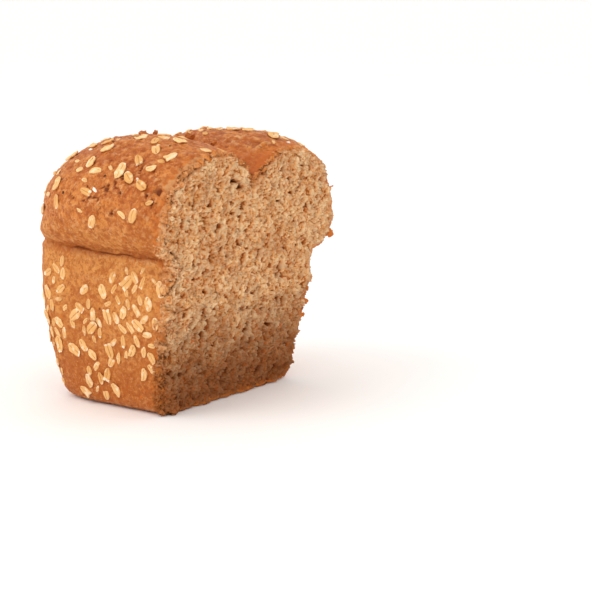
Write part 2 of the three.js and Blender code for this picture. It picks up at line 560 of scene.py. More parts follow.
def roughenCrumb():
    workOn(crumb)
    where = points(crumb)
    front = step(-0.9 * mm, -0.3 * mm, ahead(where))
    inner = step(0.3, 3.0, painted(crumb, "skinDepth"))
    weigh(crumb, "front", front)
    weigh(crumb, "inner", front * inner)
    # open places with big cells lie beside close ones with fine cells
    openPlaces = step(-0.25, 0.3, cloud(where, 9 * mm, 12))
    weigh(crumb, "open", front * (0.3 + 0.7 * openPlaces))
    weigh(crumb, "close", front * (1.0 - 0.6 * openPlaces))
    weigh(crumb, "frayed", front * (0.35 + 0.65 * inner))
    roughen(crumb, crumbLook, "tear", "front", "X", (1, 1, 1.5), 0.6)
    roughen(crumb, crumbLook, "clumps", "front", "X", (1, 0.9, 1.5), contrast=1.6)
    roughen(crumb, crumbLook, "cells", "open", "X", (1, 0.85, 1.3), kind="VORONOI", noise_intensity=1.3)
    roughen(crumb, crumbLook, "fineCells", "close", "X", (1, 0.9, 1.2), kind="VORONOI", noise_intensity=1.3)
    height, size = crumbLook["bigPores"]
    pores = makeTexture("pores", "VORONOI", noise_scale=size, use_color_ramp=True)
    for element, place, tone in zip(pores.color_ramp.elements, (0.10, 0.30), (0, 1)):
        element.position = place
        element.color = (tone, tone, tone, 1)
    swell(crumb, pores, height, "inner", "X", (1, 0.9, 1.6), 1.0)
    roughen(crumb, crumbLook, "fray", "frayed", "RGB_TO_XYZ", (1, 1, 1.2), contrast=1.6)
    roughen(crumb, crumbLook, "grit", "front", "X", noise_depth=1, contrast=1.8)
    hollow = holeMarks(where) * front * inner
    paint(crumb, "hollow", hollow)
    push(crumb, "holes", hollow, -crumbLook["holeDepth"], "X")
    paint(crumb, "relief", standing(crumb, 50, cutDirection))


roughenCrumb()
print("crumb: torn and pored")


def blisterMarks(where, crown):
    # little burst bubbles on the crown: a raised torn rim round a dark dip
    chance = random.Random(5)
    likely = np.nonzero(crown > 0.5)[0]
    rise = np.zeros(len(where))
    dip = np.zeros(len(where))
    spots = [(where[likely[chance.randrange(len(likely))]], chance.uniform(*crustLook["blisterSize"]))
             for _ in range(crustLook["blisters"])]
    # the big one, found from the near side
    x = cutX(0.12) - crustLook["bigBlisterBehind"]
    hit = hitFrom(cadTree, (x, -0.2, crustLook["bigBlisterHeight"]), (0, 1, 0))
    spots.append((np.array(hit), crustLook["bigBlisterSize"]))
    for spot, size in spots:
        apart = np.linalg.norm(where - spot, axis=1)
        near = apart < size * 3
        uneven = 1 + 0.9 * cloud(where[near], size * 0.9, 31)
        reach = apart[near] * uneven
        rise[near] += bell(reach - size, 0.4 * size) * uneven
        dip[near] += bell(reach, 0.65 * size)
    return np.clip(rise, 0, 1), np.clip(dip, 0, 1)


def swellSkin(where, skin, above, crown):
    aboveBase = step(0.2 * mm, 3 * mm, where[:, 2])
    wall = skin * aboveBase * step(4 * mm, -4 * mm, above)
    weigh(crust, "crown", crown)
    weigh(crust, "skinAboveBase", skin * (0.15 + 0.85 * aboveBase))
    weigh(crust, "rough", skin * aboveBase * (1 - 0.55 * wall))
    roughen(crust, crustLook, "bigSwell", "skinAboveBase")
    roughen(crust, crustLook, "lumps", "skinAboveBase")
    roughen(crust, crustLook, "grain", "rough", noise_depth=1, contrast=1.4)
    roughen(crust, crustLook, "wrinkles", "crown", stretch=(1.9, 0.8, 0.8), noise_depth=1,
            noise_type="HARD_NOISE")


def foldWeights(where):
    # a stretched fold of skin climbs out of the crease on to the far lobe
    foldStart = Vector((loafHigh.x - 16 * mm, 0, loafTop - 16.5 * mm))
    foldEnd = Vector((loafHigh.x - 9.5 * mm, 16 * mm, loafTop - 7 * mm))
    run = np.array(foldEnd - foldStart)
    reach = np.clip((where - np.array(foldStart)) @ run / (run @ run), 0, 1)
    apart = np.linalg.norm(where - (np.array(foldStart) + reach[:, None] * run), axis=1)
    return bell(apart, crustLook["foldWidth"])


def markCrown(where, skin, crown):
    rise, dip = blisterMarks(where, crown)
    push(crust, "rise", rise * skin, crustLook["blisterRise"])
    push(crust, "dip", dip * skin, -crustLook["blisterDip"])
    push(crust, "fold", foldWeights(where) * skin, crustLook["foldHeight"])
    # fine splits wander over the crown in patches
    wander = cloud(where, 10 * mm, 8) + 0.35 * cloud(where, 3 * mm, 18)
    splits = bell(wander, 0.045) * step(0.12, 0.4, cloud(where, 15 * mm, 9)) * crown
    push(crust, "splits", splits, -crustLook["splitDepth"])
    paint(crust, "scorch", np.clip(dip * skin * crown + splits, 0, 1))


def shapeRim(where, distance, skin, above):
    # the rim's torn line, the soft lip above it and the filled corner
    openness = 0.2 + 0.8 * step(-0.3, 0.35, cloud(where, 12 * mm, 5))
    openness *= 0.12 + 0.88 * step(-8 * mm, -36 * mm, distance)
    crack = bell(above, rim["crackWidth"]) * openness * skin
    lip = bell(above - rim["lipAbove"], rim["lipWidth"]) * skin
    filled = bell(above + rim["fillBelow"], rim["fillWidth"])
    filled *= skin * (0.3 + 0.7 * step(-40 * mm, -8 * mm, distance) * step(30 * mm, -30 * mm, where[:, 1]))
    paint(crust, "crackTone", crack)
    push(crust, "crack", crack, -rim["crackDepth"])
    push(crust, "lip", lip, rim["lipHeight"])
    push(crust, "filled", filled, rim["cornerFill"])


def tearCutEdge(where, distance, skin, isCap):
    # the cut edge is torn with the same tears as the crumb
    weigh(crust, "torn", np.where(isCap, 1.0, step(-crustLook["tornReach"], 0, distance)))
    roughen(crust, crumbLook, "tear", "torn", "X", (1, 1, 1.5), 0.6)
    roughen(crust, crumbLook, "clumps", "torn", "X", (1, 0.9, 1.5), contrast=1.6)
    raw = distance + 5.5 * mm * cloud(where, 7 * mm, 41) + 2.5 * mm * cloud(where, 2.5 * mm, 42)
    raw = step(-crustLook["rawReach"], -1.0 * mm, raw) * skin
    raw *= 0.3 + 0.7 * step(-36 * mm, -50 * mm, where[:, 1])
    weigh(crust, "raw", raw)
    paint(crust, "rawTone", np.where(isCap, 1.0, raw))
    roughen(crust, crustLook, "raw", "raw", middle=0.65, contrast=1.7)
    edge = bell(distance + 0.4 * mm, 2.0 * mm) * (crustDepth < crustLook["ring"] * 0.6)
    edge *= 0.35 + 0.65 * step(30 * mm, -30 * mm, where[:, 1])
    weigh(crust, "edge", edge)
    roughen(crust, crustLook, "ragged", "edge", "RGB_TO_XYZ", contrast=1.5)


def shapeCrust():
    workOn(crust)
    where = points(crust)
    distance = ahead(where)
    isCap = crustCut | (distance > -0.2 * mm)
    skin = np.where(isCap, 0.0, 1.0)
    level = rimHeight(where) - rim["farClimb"] * farShare(where)
    lifted = bell(where[:, 2] - level, rim["climbSpread"]) * farShare(where) * skin
    push(crust, "lifted", lifted, rim["farClimb"], "Z")
    where = points(crust)
    # the crumb side sinks so that the crumb plate sits in it
    sunk = isCap * step(crustLook["ring"] * 0.4, crustLook["ring"], crustDepth)
    push(crust, "sunk", sunk, -crustLook["recess"], "X")
    above = where[:, 2] - (rimHeight(where) + rim["wander"] * cloud(where, 9 * mm, 3))
    crown = skin * step(*crustLook["crownStart"], above)
    swellSkin(where, skin, above, crown)
    markCrown(where, skin, crown)
    shapeRim(where, distance, skin, above)
    tearCutEdge(where, distance, skin, isCap)
    paint(crust, "relief", standing(crust, 10, pointNormals(crust)))


shapeCrust()
print("crust: swollen, cracked and torn")


# torn edge: crumb that spills round the corner of the cut on to the skin
tornLook = {
    "reach": 12.0 * mm,            # skin taken along behind the cut
    "cuts": 2,
    "spillWall": 6.5 * mm,         # how far the crumb spills on the near wall
    "spillTop": 2.4 * mm,          # and everywhere else
    "wander": 3.2 * mm,
    "proud": 1.0 * mm,
    "sunk": 1.4 * mm,
    "clumps": (2.7 * mm, 2.9 * mm),
    "grit": (1.6 * mm, 1.1 * mm),
    "thickness": 1.4 * mm,
    "lift": 0.1 * mm,              # keeps its foot clear of the crust's base
}


def makeTornEdge():
    paint(crust, "skinDepth", np.where(crustCut, crustDepth, np.minimum(crustAhead, 0)) / mm)
    onSkin = ~crustCut & (crustAhead > -tornLook["reach"])
    onRing = crustCut & (crustDepth < crustLook["ring"] * 0.8)
    torn = takeFaces(crust, onSkin | onRing, "tornEdge")
    editAll()
    bpy.ops.mesh.subdivide(number_cuts=tornLook["cuts"], smoothness=0)
    bpy.ops.mesh.vertices_smooth(factor=0.5, repeat=2)
    objectMode()
    where = points(torn)
    depth = painted(torn, "skinDepth")
    nearWall = step(-38 * mm, -52 * mm, where[:, 1]) * step(98 * mm, 82 * mm, where[:, 2])
    spill = tornLook["spillTop"] + (tornLook["spillWall"] - tornLook["spillTop"]) * nearWall
    wander = tornLook["wander"] * (cloud(where, 8 * mm, 61) + 0.6 * cloud(where, 2.6 * mm, 62))
    wander *= 0.4 + 0.6 * nearWall
    cover = step(-1.0 * mm, 0.8 * mm, depth * mm + spill + wander)
    push(torn, "uncovered", 1 - cover, -tornLook["sunk"])
    push(torn, "proud", cover * (0.3 + 0.7 * nearWall), tornLook["proud"])
    calm = 1 - 0.75 * step(20 * mm, 50 * mm, where[:, 1])
    weigh(torn, "coarse", cover * calm)
    roughen(torn, tornLook, "clumps", "coarse", middle=0.55, contrast=1.6)
    roughen(torn, tornLook, "grit", "coarse", noise_depth=1, contrast=1.8)
    torn.data.attributes.remove(torn.data.attributes["relief"])
    paint(torn, "relief", np.maximum(0.6 * standing(torn, 24, pointNormals(torn)) + 0.1, -0.8))
    finishModifier(torn, "SOLIDIFY", thickness=tornLook["thickness"], offset=-1)
    return torn


tornEdge = makeTornEdge()
print("torn edge:", len(tornEdge.data.polygons), "faces")


def settle(piece):
    # nothing goes under the floor
    where = points(piece)
    where[:, 2] = np.maximum(where[:, 2], tornLook["lift"] if piece == tornEdge else 0.0)
    setPoints(piece, where)


for piece in (crust, crumb, tornEdge):
    settle(piece)
    workOn(piece)
    piece.vertex_groups.clear()
    bpy.ops.object.shade_smooth()

crustTree = treeOf(crust)


# oat flakes

flakeLook = {
    "kinds": 8,
    "kindWidths": (0.56, 0.74),
    "brokenShare": 0.4,
    "groove": 0.07,
    "rimWaviness": 0.17,
    "wallThickness": 0.9 * mm,
    "crownThickness": 1.25 * mm,
    "slimness": (0.42, 0.66),      # width of a scattered flake as a share of its length
    "driftSize": 15 * mm,
    "footClear": 4 * mm,
    "lineClearAbove": 17 * mm,     # how far the scatter keeps above the rim's line
    "lineClearBelow": 4.5 * mm,    # and below it
    "cutClear": 3.5 * mm,
    "cutClearNear": 8 * mm,        # on the near wall, where the crumb spills over
    "creaseFrom": 12 * mm,         # the crease keeps clear from this x on, between these two y
    "creaseSides": (-8 * mm, 19 * mm),
}
kindWidth = 0.62                   # width of a flake or shred that is 1 long


def makeFlakeKind(number, segments, rings):
    # one rolled oat, 1 long and lying flat, with its ends at the sphere's poles
    chance = random.Random(100 + number)
    bpy.ops.mesh.primitive_uv_sphere_add(segments=segments, ring_count=rings, radius=0.5, location=(0, 0, 0))
    kind = bpy.context.object
    workOn(kind)
    editAll()
    bpy.ops.transform.rotate(value=math.pi / 2, orient_axis="Y", center_override=(0, 0, 0))
    bpy.ops.transform.resize(value=(1.0, chance.uniform(*flakeLook["kindWidths"]), 0.16))
    objectMode()
    # the crease along the grain sinks on the upper face
    where = points(kind)
    inGroove = (np.abs(where[:, 1]) < 0.02) & (where[:, 2] > 0.01) & (np.abs(where[:, 0]) < 0.43)
    pick(kind, "VERT", inGroove)
    bpy.ops.transform.translate(value=(0, chance.uniform(-0.03, 0.03), -flakeLook["groove"]))
    objectMode()
    # some are broken off short at one end
    where = points(kind)
    if chance.random() < flakeLook["brokenShare"]:
        pick(kind, "VERT", where[:, 0] < -0.28)
        bpy.ops.transform.resize(value=(0.12, 1.25, 1.0), center_override=(-0.28, 0, 0))
        objectMode()
    where = points(kind)
    # rolled flat above and below, with a crumbling outline
    where[:, 2] = np.sign(where[:, 2]) * np.abs(where[:, 2] / 0.08) ** 0.6 * 0.08
    turn = np.arctan2(where[:, 1] / kindWidth, where[:, 0])
    ring = np.stack([np.cos(turn), np.sin(turn), np.full(len(turn), number * 2.7)], axis=1)
    outline = 1 + flakeLook["rimWaviness"] * (cloud(ring, 0.9, 2) + 0.7 * cloud(ring, 0.35, 4))
    where[:, 0] *= outline
    where[:, 1] *= outline
    where -= (where.max(axis=0) + where.min(axis=0)) / 2
    where[:, 0] /= np.ptp(where[:, 0])
    where[:, 1] *= kindWidth / np.ptp(where[:, 1])
    where[:, 2] /= np.ptp(where[:, 2])
    # a slight curl along and across the flake
    where[:, 2] += chance.uniform(-0.4, 0.9) * (where[:, 0] ** 2) * 2
    where[:, 2] += chance.uniform(-0.5, 0.5) * where[:, 0] * where[:, 1] * 3
    where[:, 2] += 0.5 * cloud(where * np.array([1, 1, 0.2]), 0.3, number)
    setPoints(kind, where)
    layer = kind.data.uv_layers.active
    corner = np.zeros(len(kind.data.loops), dtype=int)
    kind.data.loops.foreach_get("vertex_index", corner)
    flat = np.stack([where[corner, 0] + 0.5, where[corner, 1] / kindWidth + 0.5], axis=1)
    layer.data.foreach_set("uv", flat.ravel())
    layer.name = "grain"
    bpy.ops.object.shade_smooth()
    kind.name = "flakeKind%d" % number
    return kind


fineKinds = [makeFlakeKind(n, 20, 14) for n in range(flakeLook["kinds"])]
smallKinds = [makeFlakeKind(n + 10, 10, 6) for n in range(flakeLook["kinds"])]
print("flakes:", len(fineKinds) + len(smallKinds), "kinds made")


def placeCopy(kind, name, matrix, shade):
    made = kind.copy()
    made.data = kind.data.copy()
    bpy.context.scene.collection.objects.link(made)
    made.name = name
    made.data.transform(matrix)
    made.data.update()
    paint(made, "shade", [shade] * len(made.data.vertices))
    return made


def frameOn(centre, long, normal, length, width, thick):
    n = normal.normalized()
    a = (long - n * long.dot(n)).normalized()
    b = n.cross(a)
    turned = Matrix((a * length, b * (width / kindWidth), n * thick)).transposed().to_4x4()
    return Matrix.Translation(centre) @ turned


flakePieces = []
mainCentres = []


def aboveLine(where):
    return where[2] - (rim["middleHeight"] + rim["rise"] * where[1])


def joinFlakes(parts, name):
    made = joinAll(parts, name)
    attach(made, "root")
    flakePieces.append(made)


def replaceFlakes():
    chance = random.Random(7)
    for name in sorted(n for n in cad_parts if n.startswith("oat_flake")):
        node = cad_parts[name]
        where = points(node)
        centre = where.mean(axis=0)
        values, axes = np.linalg.eigh(np.cov((where - centre).T))
        long = Vector(axes[:, 2])
        normal = Vector(axes[:, 0])
        hit, outward, _, _ = cadTree.find_nearest(Vector(centre))
        if normal.dot(outward) < 0:
            normal = -normal
        length = np.ptp(where @ axes[:, 2])
        width = np.ptp(where @ axes[:, 1])
        low = aboveLine(centre) < 0
        thick = flakeLook["wallThickness"] if low else flakeLook["crownThickness"]
        surface, _, _, _ = crustTree.find_nearest(Vector(centre))
        rise = 0.18 if low else 0.32
        centre = surface + normal * thick * rise
        if chance.random() < 0.5:
            long = -long
        kind = fineKinds[chance.randrange(len(fineKinds))]
        shade = (0.35 if low else 0.0) + (0.65 if low else 1.0) * chance.random()
        matrix = frameOn(centre, long, normal, length, width, thick)
        made = placeCopy(kind, "flake_" + name[-2:], matrix, shade)
        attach(made, "root")
        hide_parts(name)
        flakePieces.append(made)
        mainCentres.append(centre)


replaceFlakes()
print("flakes:", len(flakePieces), "placed on the packed ones")


# a few flakes low on the near wall: along, height, lean and length, in millimetres and radians
lowFlakes = {
    "footFirst": (-17.5, 6.5, -1.0, 7.5),
    "footSecond": (-14.0, 12.5, -0.3, 7.5),
    "pairFirst": (-1.0, 17.5, 0.3, 7.5),
    "pairSecond": (-5.5, 15.0, -0.1, 6.5),
    "single": (4.0, 10.0, -0.6, 8.0),
    "highFirst": (24.0, 21.0, 0.2, 7.0),
    "highSecond": (29.5, 24.0, -0.9, 7.0),
}


def placeLowFlakes():
    chance = random.Random(33)
    parts = []
    for along, height, lean, length in lowFlakes.values():
        start = hitFrom(crustTree, (along * mm, -1, height * mm), (0, 1, 0))
        _, normal, _, _ = cadTree.find_nearest(start)
        long = Vector((math.sin(lean), 0, math.cos(lean)))
        thick = flakeLook["crownThickness"]
        matrix = frameOn(start + normal * thick * 0.3, long, normal, length * mm, length * 0.55 * mm, thick)
        parts.append(placeCopy(fineKinds[chance.randrange(len(fineKinds))], "part", matrix, chance.random()))
        mainCentres.append(start)
    joinFlakes(parts, "flakes_foot")


placeLowFlakes()


# loose scatter of smaller flakes, joined by area

scatter = {
    "nearWall": {"count": 58, "gap": 5.2 * mm, "length": (4.0, 7.2)},
    "farWall": {"count": 50, "gap": 6.0 * mm, "length": (4.0, 7.8)},
    "endWall": {"count": 46, "gap": 6.0 * mm, "length": (4.0, 7.8)},
    "crown": {"count": 165, "gap": 5.4 * mm, "length": (3.5, 8.0)},
    "chips": {"count": 34, "gap": 5.0 * mm, "length": (1.6, 3.6)},
}


def areaOf(where, normal):
    # the name of the area that this spot is in, if flakes may lie there
    facing = 0.7
    clear = flakeLook["cutClearNear"] if normal[1] < -facing else flakeLook["cutClear"]
    if ahead(where) > -clear or where[2] < flakeLook["footClear"]:
        return None
    height = aboveLine(where)
    if height > flakeLook["lineClearAbove"]:
        return "crown"
    if height > -flakeLook["lineClearBelow"]:
        return None
    if normal[1] < -facing:
        return "nearWall"
    if normal[1] > facing:
        return "farWall"
    if normal[0] < -facing:
        return "endWall"
    return None


def chooseSpots(chance):
    # places on the crust for each area's flakes, which keep together in bands and drifts
    centres = faceCentres(crust)
    normals = faceNormals(crust)
    order = list(range(len(centres)))
    chance.shuffle(order)
    taken = {area: [] for area in scatter}
    spots = list(mainCentres)
    creaseLow, creaseHigh = flakeLook["creaseSides"]
    for index in order:
        where = centres[index]
        area = areaOf(where, normals[index])
        if area == "crown" and len(taken["crown"]) >= scatter["crown"]["count"]:
            area = "chips"
        if not area or len(taken[area]) >= scatter[area]["count"]:
            continue
        onCrown = area in ("crown", "chips")
        inCrease = where[0] > flakeLook["creaseFrom"] and creaseLow < where[1] < creaseHigh
        if onCrown and inCrease:
            continue
        drift = noise.noise(Vector(where) / flakeLook["driftSize"] + Vector((4.2, 1.7, 9.1)))
        if onCrown:
            drift += 0.25 - 0.004 * (where[0] / mm)
        else:
            height = where[2] / rim["middleHeight"]
            drift += 0.5 - 1.5 * abs(height - 0.6)
        if drift < (-0.45 if onCrown else 0.05) + 0.3 * chance.random():
            continue
        here = Vector(where)
        if any((here - s).length < scatter[area]["gap"] for s in spots):
            continue
        spots.append(here)
        taken[area].append(here)
    return taken


def scatterFlakes():
    chance = random.Random(21)
    for area, chosen in chooseSpots(chance).items():
        parts = []
        for here in chosen:
            _, normal, _, _ = cadTree.find_nearest(here)
            if area in ("crown", "chips"):
                long = Vector((chance.uniform(-1, 1), chance.uniform(-1, 1), chance.uniform(-0.4, 0.4)))
                thick = flakeLook["crownThickness"] * chance.uniform(0.6, 1)
                rise = 0.3
            else:
                lean = chance.gauss(0, 0.6)
                long = Vector((math.sin(lean), math.sin(lean) * 0.3, math.cos(lean)))
                thick = flakeLook["wallThickness"] * chance.uniform(0.6, 1)
                rise = 0.12
            low, high = scatter[area]["length"]
            length = chance.uniform(low, high) * mm
            width = length * chance.uniform(*flakeLook["slimness"])
            matrix = frameOn(here + normal * thick * rise, long, normal, length, width, thick)
            kind = smallKinds[chance.randrange(len(smallKinds))]
            shade = {"chips": 2.0, "crown": chance.random()}.get(area, 0.4 + 0.6 * chance.random())
            parts.append(placeCopy(kind, "part", matrix, shade))
        joinFlakes(parts, "flakes_" + area)
        print("flakes:", len(parts), "more on the", area)


scatterFlakes()


# torn shreds of crust on the crown: place along and across, the way it stands, and size in millimetres
shreds = {
    "crownFirst": ((4, -26), (0.5, 0.3, 1.0), 5.5),
    "crownFirstLow": ((0, -27), (-0.9, 0.2, 0.7), 6.5),
    "crownFirstSide": ((7, -25), (0.9, 0.1, 0.6), 6.0),
    "crownSecond": ((25, -25), (0.2, 0.4, 1.0), 5.5),
    "crownSecondLow": ((28, -26), (0.8, -0.2, 0.7), 6.0),
    "crownSecondSide": ((22, -26), (-0.7, -0.2, 0.7), 5.5),
    "crownThird": ((39, -24), (0.6, 0.4, 0.6), 5.5),
    "crownThirdLow": ((36, -22), (-0.5, 0.3, 0.6), 4.5),
    "farCrown": ((-30, 38), (-0.3, 0.5, 1.0), 5.0),
    "backShoulder": ((-44, -20), (-0.7, -0.2, 0.8), 4.5),
    "backRight": ((-40, 50), (-0.4, 0.6, 0.7), 4.5),
}
# and at the cut's edge: how far across, height, the way it stands, and size
edgeShreds = {
    "lip": (66, 80, (0.3, 0.9, -0.6), 6.5),
    "lipInner": (63, 77, (0.4, 0.9, 0.3), 5.0),
    "wallHigh": (55, 48, (0.3, 1.0, 0.4), 4.5),
    "wallMiddle": (55, 43, (0.5, 0.6, -0.4), 5.0),
    "wallLow": (51, 34, (0.3, 1.0, 0.1), 4.0),
    "wallFoot": (48, 20, (0.4, 1.0, 0.0), 3.5),
    "domeHigh": (66, 104, (0.4, 1.0, 0.3), 2.5),
    "nearFoot": (-55, 9, (0.5, -0.8, -0.1), 3.0),
}


def makeShred(name, start, stand, size, seed):
    chance = random.Random(seed)
    bpy.ops.mesh.primitive_ico_sphere_add(subdivisions=4, radius=0.5, location=(0, 0, 0))
    shred = bpy.context.object
    shred.name = name
    workOn(shred)
    editAll()
    bpy.ops.transform.resize(value=(1.0, kindWidth, 0.17))
    objectMode()
    where = points(shred)
    ragged = 1 + 0.5 * cloud(where * np.array([1, 1, 0]), 0.35, seed) + 0.3 * cloud(where, 0.14, seed + 1)
    where[:, 1] *= ragged * (1 + 3.2 * where[:, 0] ** 2)
    where[:, 0] *= 1 + 0.35 * cloud(where * np.array([0, 1, 0]), 0.22, seed + 2)
    where[:, 2] += 0.3 * (where[:, 0] ** 2) * chance.choice((-1, 1)) + 0.10 * cloud(where, 0.25, seed + 3)
    setPoints(shred, where)
    long = Vector(stand).normalized()
    side = long.cross(Vector((0.3, 1, 0.2))).normalized()
    matrix = frameOn(start + long * size * 0.25, long, side, size, size * kindWidth, size)
    shred.data.transform(matrix)
    bpy.ops.object.shade_smooth()
    return shred


def makeShreds():
    made = []
    for number, (name, (spot, stand, size)) in enumerate(shreds.items()):
        start = hitFrom(crustTree, (spot[0] * mm, spot[1] * mm, 1), (0, 0, -1))
        made.append(makeShred(name, start, stand, size * mm, 60 + number))
    for number, (name, (across, height, stand, size)) in enumerate(edgeShreds.items()):
        x = cutX(height * mm) - 1.2 * mm
        side = math.copysign(1, across)
        start = hitFrom(crustTree, (x, side, height * mm), (0, -side, 0))
        made.append(makeShred(name, start, stand, size * mm, 80 + number))
    return joinAll(made, "crustShreds")


crustShreds = makeShreds()
print("shreds: torn off the crust")
for kind in fineKinds + smallKinds:
    bpy.data.objects.remove(kind)


# finishes

crustTint = {
    "tan": tint(200, 124, 56),
    "gold": tint(222, 154, 82),
    "brown": tint(174, 92, 34),
    # red-brown skin, also used as painted shade in hollows and at the crease's foot
    "redBrownAndShade": tint(140, 62, 18),
    "crownRed": tint(178, 90, 32),
    "crownTan": tint(208, 126, 58),
    "speck": tint(118, 46, 10),
    "pit": tint(50, 20, 6),
    "crack": tint(112, 50, 14),
    "orange": tint(204, 110, 36),
    "creaseTone": tint(184, 94, 38),
    "speckle": tint(152, 74, 24),
    "dust": tint(230, 180, 124),
    "crumb": tint(206, 146, 92),
}


def crustFinish():
    p = Paints("bakedCrust")
    t = crustTint
    here = p.places()
    height = p.along(here, 2)
    across = p.along(here, 1)
    patches = p.lumps(here, 26 * mm, 3, 0.6)
    mottle = p.lumps(here, 5.0 * mm, 4, 0.65)
    fine = p.lumps(here, 1.5 * mm, 4, 0.7)
    relief = p.attribute("relief")
    above = height - (rim["rise"] * across + rim["middleHeight"])
    base = p.mix(p.window(mottle, 0.36, 0.62), t["brown"], t["tan"])
    base = p.mix(p.window(patches, 0.40, 0.60) * 0.5, base, t["gold"])
    base = p.mix(p.window(above, -34 * mm, -6 * mm) * p.window(above, 2 * mm, -3 * mm) * 0.4, base, t["gold"])
    # darker towards the base: painted shade where the foot of the wall gets less light
    lowShadeBrown = p.window(height + (mottle - 0.5) * (30 * mm), 58 * mm, 4 * mm)
    base = p.mix(lowShadeBrown * 0.9, base, t["brown"])
    # the crown is darker and redder
    high = p.window(above + (patches - 0.5) * (36 * mm), 7 * mm, 27 * mm)
    crownTone = p.mix(p.window(mottle + (patches - 0.5) * 0.6, 0.36, 0.66), t["crownRed"], t["crownTan"])
    base = p.mix(high * 0.95, base, crownTone)
    # the far lobe's skin is stretched in dark and pale streaks
    stretched = p.lumps(p.places((0.6, 1.3, 1.3)), 7 * mm, 4, 0.65, 0.5)
    farLobe = high * p.window(across, -2 * mm, 12 * mm)
    base = p.mix(farLobe * p.window(stretched, 0.50, 0.60) * 0.7, base, t["redBrownAndShade"])
    base = p.mix(farLobe * p.window(stretched, 0.44, 0.34) * 0.45, base, t["dust"])
    # raised places are painted lighter, as painted highlight with a little flour dust; hollows are painted
    # dark as painted shade
    base = p.mix(p.window(relief, 0.05, 0.5) * 0.4, base, t["dust"])
    base = p.mix(p.window(relief, -0.04, -0.5) * 0.75, base, t["redBrownAndShade"])
    grit = p.lumps(p.places(turn=(0.4, 0.9, 0.2)), 2.0 * mm, 3, 0.65)
    base = p.mix(p.window(fine, 0.54, 0.66) * 0.4, base, t["dust"])
    base = p.mix(p.window(grit, 0.52, 0.61) * (0.5 + 0.2 * high), base, t["speckle"])
    base = p.mix(p.window(grit, 0.46, 0.34) * 0.4, base, t["gold"])
    stains = p.lumps(p.places(turn=(1.1, 0.2, 0.5)), 4.2 * mm, 4, 0.7, 0.6)
    base = p.mix(p.window(stains, 0.50, 0.60) * 0.6, base, t["brown"])
    # bran specks, orange scorches and small dark pits
    specks = p.cells(here, 2.7 * mm)
    patchy = p.window(p.lumps(here, 9 * mm, 2), 0.4, 0.6)
    base = p.mix(p.window(specks, 0.26, 0.08) * (0.05 + 0.35 * patchy), base, t["speck"])
    blotches = p.lumps(here, 2.9 * mm, 3, 0.65, 0.8)
    base = p.mix(p.window(blotches, 0.60, 0.70) * 0.75, base, t["orange"])
    scorch = p.attribute("scorch")
    base = p.mix(p.window(scorch + (fine - 0.5) * 0.6, 0.2, 0.8) * 0.9, base, t["crack"])
    pits = p.cells(here, 9.5 * mm)
    pitMask = p.window(pits + (fine - 0.5) * 0.08, 0.10, 0.05)
    base = p.mix(pitMask, base, t["pit"])
    # the torn rim line, stained just above
    stain = p.window(above + (mottle - 0.5) * (9 * mm), 7 * mm, 1 * mm) * p.window(above, -1.5 * mm, 0.5 * mm)
    base = p.mix(stain * 0.45, base, t["brown"])
    crack = p.attribute("crackTone")
    base = p.mix(p.window(crack + (fine - 0.5) * 0.7, 0.2, 0.8) * 0.7, base, t["crack"])
    # towards the cut the crust frays to orange, then crumb
    cut = p.node("VectorMath", {"operation": "DOT_PRODUCT"}, {
        0: here, 1: tuple(float(c) for c in cutDirection)}, output=1) - cutOffset
    fray = cut + (mottle - 0.5) * (18 * mm) + (fine - 0.5) * (8 * mm)
    base = p.mix(p.window(fray, -8.0 * mm, -3.5 * mm) * 0.65, base, t["orange"])
    raw = p.attribute("rawTone") + (fine - 0.5) * 0.6
    base = p.mix(p.window(raw, 0.35, 0.75) * 0.85, base, t["crumb"])
    # hollows of the torn crumb are painted browner: painted shade
    base = p.mix(p.window(raw, 0.4, 0.8) * p.window(relief, 0.0, -0.5) * 0.7, base, t["brown"])
    base = p.mix(p.window(raw, 0.4, 0.8) * p.window(grit, 0.56, 0.64) * 0.7, base, t["orange"])
    # the crease is redder, and painted shade darkens its foot
    crease = p.window(across + (mottle - 0.5) * (8 * mm), 17 * mm, 8 * mm)
    crease = crease * p.window(across, -10 * mm, -4 * mm)
    crease = crease * p.window(above, 20 * mm, 26 * mm)
    crease = crease * p.window(height + (mottle - 0.5) * (6 * mm), loafTop - 7 * mm, loafTop - 13 * mm)
    base = p.mix(crease * 0.65, base, t["creaseTone"])
    # painted shade at the foot of the crease
    creaseFootShade = p.window(height + (mottle - 0.5) * (8 * mm), loafTop - 16 * mm, loafTop - 24 * mm)
    base = p.mix(crease * creaseFootShade * 0.6, base, t["redBrownAndShade"])
    rough = 0.7 - high * 0.2 + (fine - 0.5) * 0.3
    bumps = mottle * 0.5 + fine * 0.7 + p.lumps(here, 0.6 * mm, 2, 0.6) * 0.25 - pitMask * 0.8
    normal = p.bump(bumps, 0.9 * mm)
    return p.surface(**{"Base Color": base, "Roughness": rough, "Normal": normal,
                        "Specular IOR Level": 0.18})


crumbTint = {
    "light": tint(255, 220, 172),
    "middle": tint(246, 184, 120),
    "deep": tint(184, 102, 42),
    "dark": tint(84, 40, 12),
    "bran": tint(196, 98, 30),
    "orange": tint(214, 122, 46),
    "skin": tint(208, 124, 58),
    # the crumb's painted low shade, also its denser crumb by the base crust
    "lowShadeBrown": tint(138, 74, 31),
}


